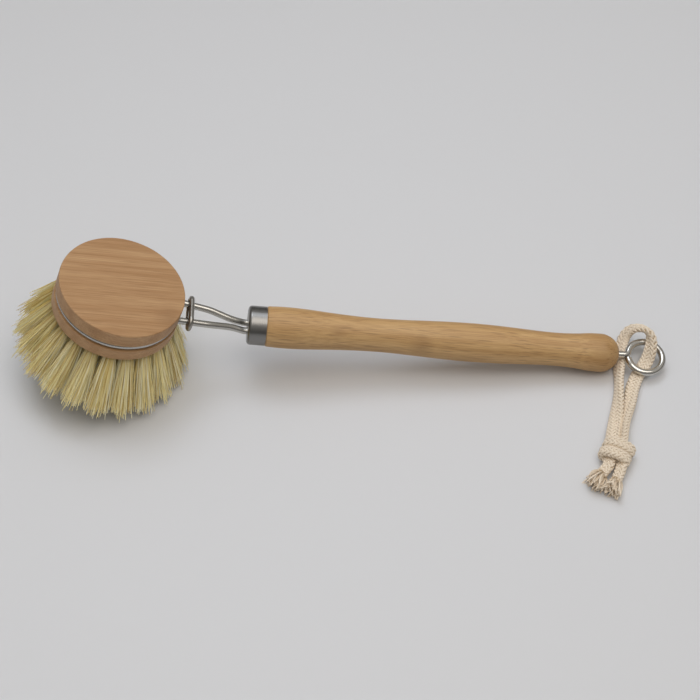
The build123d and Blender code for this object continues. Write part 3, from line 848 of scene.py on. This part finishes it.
def turned_bamboo(name, origin, turn, stops, bundle_chip, bundle_amount, marks):
    """Bamboo with its grain along a turned X axis. stops are its colours from dark to light.

    marks are the darker places at the stem's joints, each a place and a radius in millimetres and
    how dark it is.
    """
    material, tree, shader = new_material(name, Roughness=0.5)
    place = add_node(tree, "ShaderNodeTexCoord").outputs["Object"]
    patterns = {}
    for key, kind, sizes, settings in (
        ("fibre", "ShaderNodeTexNoise", FIBRE_SIZES, {"Detail": 4.0, "Roughness": 0.65}),
        ("strip", "ShaderNodeTexNoise", STRIP_SIZES, {"Detail": 2.0, "Roughness": 0.5}),
        ("bundle", "ShaderNodeTexVoronoi", BUNDLE_SIZES, {}),
    ):
        mapping = add_node(tree, "ShaderNodeMapping", {"Vector": place}, vector_type="TEXTURE")
        mapping.inputs["Location"].default_value = origin
        mapping.inputs["Rotation"].default_value = turn
        mapping.inputs["Scale"].default_value = [size * MM for size in sizes]
        links = {"Vector": mapping.outputs[0], "Scale": 1.0, **settings}
        patterns[key] = add_node(tree, kind, links).outputs[0]
    fibre_colour = add_node(tree, "ShaderNodeValToRGB", {0: patterns["fibre"]}, stops=stops).outputs[0]
    strip_colour = add_node(
        tree, "ShaderNodeValToRGB", {0: patterns["strip"]}, stops=STRIP_SHADE
    ).outputs[0]
    striped = add_node(
        tree,
        "ShaderNodeMix",
        {0: 1.0, 6: fibre_colour, 7: strip_colour},
        data_type="RGBA",
        blend_type="MULTIPLY",
    )
    bundle_mask = add_node(
        tree, "ShaderNodeValToRGB", {0: patterns["bundle"]}, stops=BUNDLE_EDGE
    ).outputs[0]
    bundle_share = add_node(
        tree, "ShaderNodeMath", {0: bundle_mask, 1: bundle_amount}, operation="MULTIPLY"
    )
    flecked = add_node(
        tree,
        "ShaderNodeMix",
        {0: bundle_share.outputs[0], 6: striped.outputs[2], 7: colour(bundle_chip)},
        data_type="RGBA",
    )
    grain = flecked.outputs[2]
    for middle, radius, amount in marks:
        away = add_node(
            tree, "ShaderNodeVectorMath", {0: place, 1: Vector(middle) * MM}, operation="DISTANCE"
        )
        near = add_node(
            tree, "ShaderNodeMapRange", {0: away.outputs["Value"], 1: 0, 2: radius * MM, 3: amount, 4: 0}
        )
        streaky = add_node(
            tree, "ShaderNodeMath", {0: near.outputs[0], 1: patterns["fibre"]}, operation="MULTIPLY"
        )
        marked = add_node(
            tree,
            "ShaderNodeMix",
            {0: streaky.outputs[0], 6: grain, 7: colour(bundle_chip)},
            data_type="RGBA",
        )
        grain = marked.outputs[2]
    tree.links.new(grain, shader.inputs["Base Color"])
    gloss = add_node(tree, "ShaderNodeMapRange", {0: patterns["fibre"], 3: SATIN[0], 4: SATIN[1]})
    tree.links.new(gloss.outputs[0], shader.inputs["Roughness"])
    relief = add_node(
        tree, "ShaderNodeBump", {"Height": patterns["fibre"], "Distance": GRAIN_DEPTH, "Strength": 0.6}
    )
    tree.links.new(relief.outputs[0], shader.inputs["Normal"])
    return material


# %% Bamboo of the handle and the head
HANDLE_TILT = math.radians(6.75)
FERRULE_FACE = Vector((-37.693, 0, 24.4608)) * MM
GRAIN_TURN = math.radians(9.0)  # the head's grain lies so far round from the handle
STEM_COLOURS = [(0.30, "#b58c5b"), (0.50, "#cca672"), (0.70, "#dbb783")]
STEM_MARKS = [
    ((-1.9, -5.1, 25.5), 4.0, 0.6),
    ((31.0, -6.5, 19.0), 6.0, 0.7),
    ((107.5, -4.0, 12.0), 11.0, 0.6),
]
handle_bamboo = turned_bamboo(
    "turned_bamboo_stem",
    FERRULE_FACE,
    (0, HANDLE_TILT, 0),
    STEM_COLOURS,
    bundle_chip="#7a5836",
    bundle_amount=0.5,
    marks=STEM_MARKS,
)
BLOCK_COLOURS = [(0.30, "#ab8359"), (0.50, "#be966b"), (0.70, "#cba67b")]
head_bamboo = turned_bamboo(
    "turned_bamboo_block",
    HEAD_ORIGIN,
    (0, HEAD_TILT, GRAIN_TURN),
    BLOCK_COLOURS,
    bundle_chip="#8a643f",
    bundle_amount=0.3,
    marks=[((-66.2, -12.0, 41.1), 8.0, 0.9)],
)
print("bamboo finishes", handle_bamboo.name, head_bamboo.name)

# %% [markdown]
# ## Steel and nickel
# The yoke is bent from drawn stainless wire: bright, with faint lines along the wire that blur
# its reflections. The lock ring was tumbled after it was bent, so it is duller and its marks go
# no particular way. The ferrule is a thin stainless cup, brushed round its axis. The screw eye
# is nickel-plated steel, smoother and a little warmer than the rest. One function makes them
# all from a stretched noise. The real lines are finer than the picture can show, so these are
# drawn as coarse as they need to be.

# %% Metal finish
LINE_CONTRAST = (0.3, 0.7)  # the part of the noise's range that the gloss follows


def bare_metal(name, chip, origin, slope, line_sizes, roughness_range, relief_depth):
    """A metal with fine lines. line_sizes are their length along each axis, in millimetres."""
    material, tree, shader = new_material(name, Metallic=1.0)
    shader.inputs["Base Color"].default_value = colour(chip)
    place = add_node(tree, "ShaderNodeTexCoord").outputs["Object"]
    mapping = add_node(tree, "ShaderNodeMapping", {"Vector": place}, vector_type="TEXTURE")
    mapping.inputs["Location"].default_value = origin
    mapping.inputs["Rotation"].default_value = (0, slope, 0)
    mapping.inputs["Scale"].default_value = [size * MM for size in line_sizes]
    lines = add_node(
        tree,
        "ShaderNodeTexNoise",
        {"Vector": mapping.outputs[0], "Scale": 1.0, "Detail": 3.0, "Roughness": 0.6},
    )
    low, high = roughness_range
    faint, strong = LINE_CONTRAST
    gloss = add_node(
        tree, "ShaderNodeMapRange", {0: lines.outputs[0], 1: faint, 2: strong, 3: low, 4: high}
    )
    tree.links.new(gloss.outputs[0], shader.inputs["Roughness"])
    relief = add_node(
        tree, "ShaderNodeBump", {"Height": lines.outputs[0], "Distance": relief_depth, "Strength": 0.5}
    )
    tree.links.new(relief.outputs[0], shader.inputs["Normal"])
    return material


# %% The four metals
HEAD_LIE = (HEAD_ORIGIN, HEAD_TILT)
HANDLE_LIE = (FERRULE_FACE, HANDLE_TILT)
wire_steel = bare_metal(
    "drawn_steel_wire",
    "#b9b7b2",
    *HEAD_LIE,
    line_sizes=(4, 0.6, 0.6),
    roughness_range=(0.17, 0.23),
    relief_depth=0.001 * MM,
)
ring_steel = bare_metal(
    "tumbled_steel_ring",
    "#a5a29c",
    *HEAD_LIE,
    line_sizes=(0.4, 0.4, 0.4),
    roughness_range=(0.26, 0.40),
    relief_depth=0.01 * MM,
)
ferrule_steel = bare_metal(
    "brushed_steel_cup",
    "#878684",
    *HANDLE_LIE,
    line_sizes=(0.15, 8, 8),
    roughness_range=(0.26, 0.36),
    relief_depth=0.008 * MM,
)
eye_nickel = bare_metal(
    "nickel_plated_steel",
    "#cdcbc6",
    *HANDLE_LIE,
    line_sizes=(1.2, 1.2, 1.2),
    roughness_range=(0.10, 0.18),
    relief_depth=0.01 * MM,
)
print("metal finishes", *[metal.name for metal in (wire_steel, ring_steel, ferrule_steel, eye_nickel)])

# %% [markdown]
# ## Plant fibre and cotton
# The bristles are tampico, the stiff fibre of a desert plant: straw-coloured, no two quite the
# same tone, and painted darker at the root as painted shade, where little light reaches. Light that
# grazes such a bundle comes back from hundreds of fibres, and a full warm sheen stands in for it.
# The cord is unbleached cotton, cream, matt and slightly fuzzy, with the twist of each yarn just
# visible. Between the yarns it is painted brown as painted shade, so its colour follows the height
# kept at every point of the braid; along the loose yarns of the frayed ends it follows the way
# from root to tip, with painted shade at the root.

# %% Fibre finish
PLANT_FIBRE.use_nodes = True
tree = PLANT_FIBRE.node_tree
shader = tree.nodes["Principled BSDF"]
shader.inputs["Roughness"].default_value = 0.55
shader.inputs["Sheen Weight"].default_value = 1.0
shader.inputs["Sheen Roughness"].default_value = 0.4
shader.inputs["Sheen Tint"].default_value = colour("#fff0c0")
tone_reader = add_node(tree, "ShaderNodeAttribute", attribute_name="tone")
along_reader = add_node(tree, "ShaderNodeAttribute", attribute_name="along")
FIBRE_TONES = [(0.0, "#cdb06c"), (0.25, "#f6e49e"), (0.6, "#fff6c0"), (1.0, "#fffce4")]
tone_colour = add_node(
    tree, "ShaderNodeValToRGB", {0: tone_reader.outputs["Fac"]}, stops=FIBRE_TONES
).outputs[0]
# painted shade: the fibres are painted darker towards the root, where the tufts shade each other and
# little light reaches
PAINTED_ROOT_SHADE = [(0.0, "#d6c8aa"), (0.4, "#ffffff")]
root_shade_colour = add_node(
    tree, "ShaderNodeValToRGB", {0: along_reader.outputs["Fac"]}, stops=PAINTED_ROOT_SHADE
).outputs[0]
fibre_colour = add_node(
    tree,
    "ShaderNodeMix",
    {0: 1.0, 6: tone_colour, 7: root_shade_colour},
    data_type="RGBA",
    blend_type="MULTIPLY",
)
tree.links.new(fibre_colour.outputs[2], shader.inputs["Base Color"])
print("fibre finish", PLANT_FIBRE.name)

# %% Cotton finish
COTTON.use_nodes = True
tree = COTTON.node_tree
shader = tree.nodes["Principled BSDF"]
shader.inputs["Roughness"].default_value = 0.95
shader.inputs["Sheen Weight"].default_value = 0.25
place = add_node(tree, "ShaderNodeTexCoord").outputs["Object"]
TWIST_SIZE = 0.35 * MM
TWIST_CONTRAST = 0.4  # how much the twist of the yarn changes its tone
TWIST_DEPTH = 0.08 * MM
twist = add_node(
    tree, "ShaderNodeTexNoise", {"Vector": place, "Scale": 1 / TWIST_SIZE, "Detail": 3.0}
)
height_reader = add_node(tree, "ShaderNodeAttribute", attribute_name="height")
along_reader = add_node(tree, "ShaderNodeAttribute", attribute_name="along")
# painted shade: the loose yarns are painted dark at the root, and this power keeps that painted shade
# short
LOOSE_ROOT_SHADE_POWER = 0.35  # the dark root of a loose yarn is short
loose_unshaded_share = add_node(
    tree, "ShaderNodeMath", {0: along_reader.outputs["Fac"], 1: LOOSE_ROOT_SHADE_POWER}, operation="POWER"
)
unshaded_share = add_node(
    tree,
    "ShaderNodeMath",
    {0: height_reader.outputs["Fac"], 1: loose_unshaded_share.outputs[0]},
    operation="MAXIMUM",
)
cotton_tone = add_node(
    tree,
    "ShaderNodeMath",
    {0: twist.outputs[0], 1: TWIST_CONTRAST, 2: unshaded_share.outputs[0]},
    operation="MULTIPLY_ADD",
)
# painted shade: the brown stops paint the shade in the crevices, on the core and at the loose yarns'
# roots; the cream stops are the cotton's own colour
COTTON_AND_SHADE_TONES = [(0.38, "#8a6c48"), (0.62, "#c9b393"), (1.0, "#f0e2ce")]
cotton_colour = add_node(
    tree, "ShaderNodeValToRGB", {0: cotton_tone.outputs[0]}, stops=COTTON_AND_SHADE_TONES
).outputs[0]
tree.links.new(cotton_colour, shader.inputs["Base Color"])
relief = add_node(
    tree, "ShaderNodeBump", {"Height": twist.outputs[0], "Distance": TWIST_DEPTH, "Strength": 0.6}
)
tree.links.new(relief.outputs[0], shader.inputs["Normal"])
print("cotton finish", COTTON.name)

# %% [markdown]
# ## Finishes onto the kept solids
# The solids that stay only need their materials.

# %% Dress the kept solids
FINISHES = {
    "handle": handle_bamboo,
    "head_block": head_bamboo,
    "wire_yoke": wire_steel,
    "slider_ring": ring_steel,
    "ferrule": ferrule_steel,
    "screw_eye": eye_nickel,
    "tuft_staples": wire_steel,
}
for node, finish in FINISHES.items():
    for material_slot in nodes[node].material_slots:
        material_slot.material = finish
print("dressed", ", ".join(FINISHES))
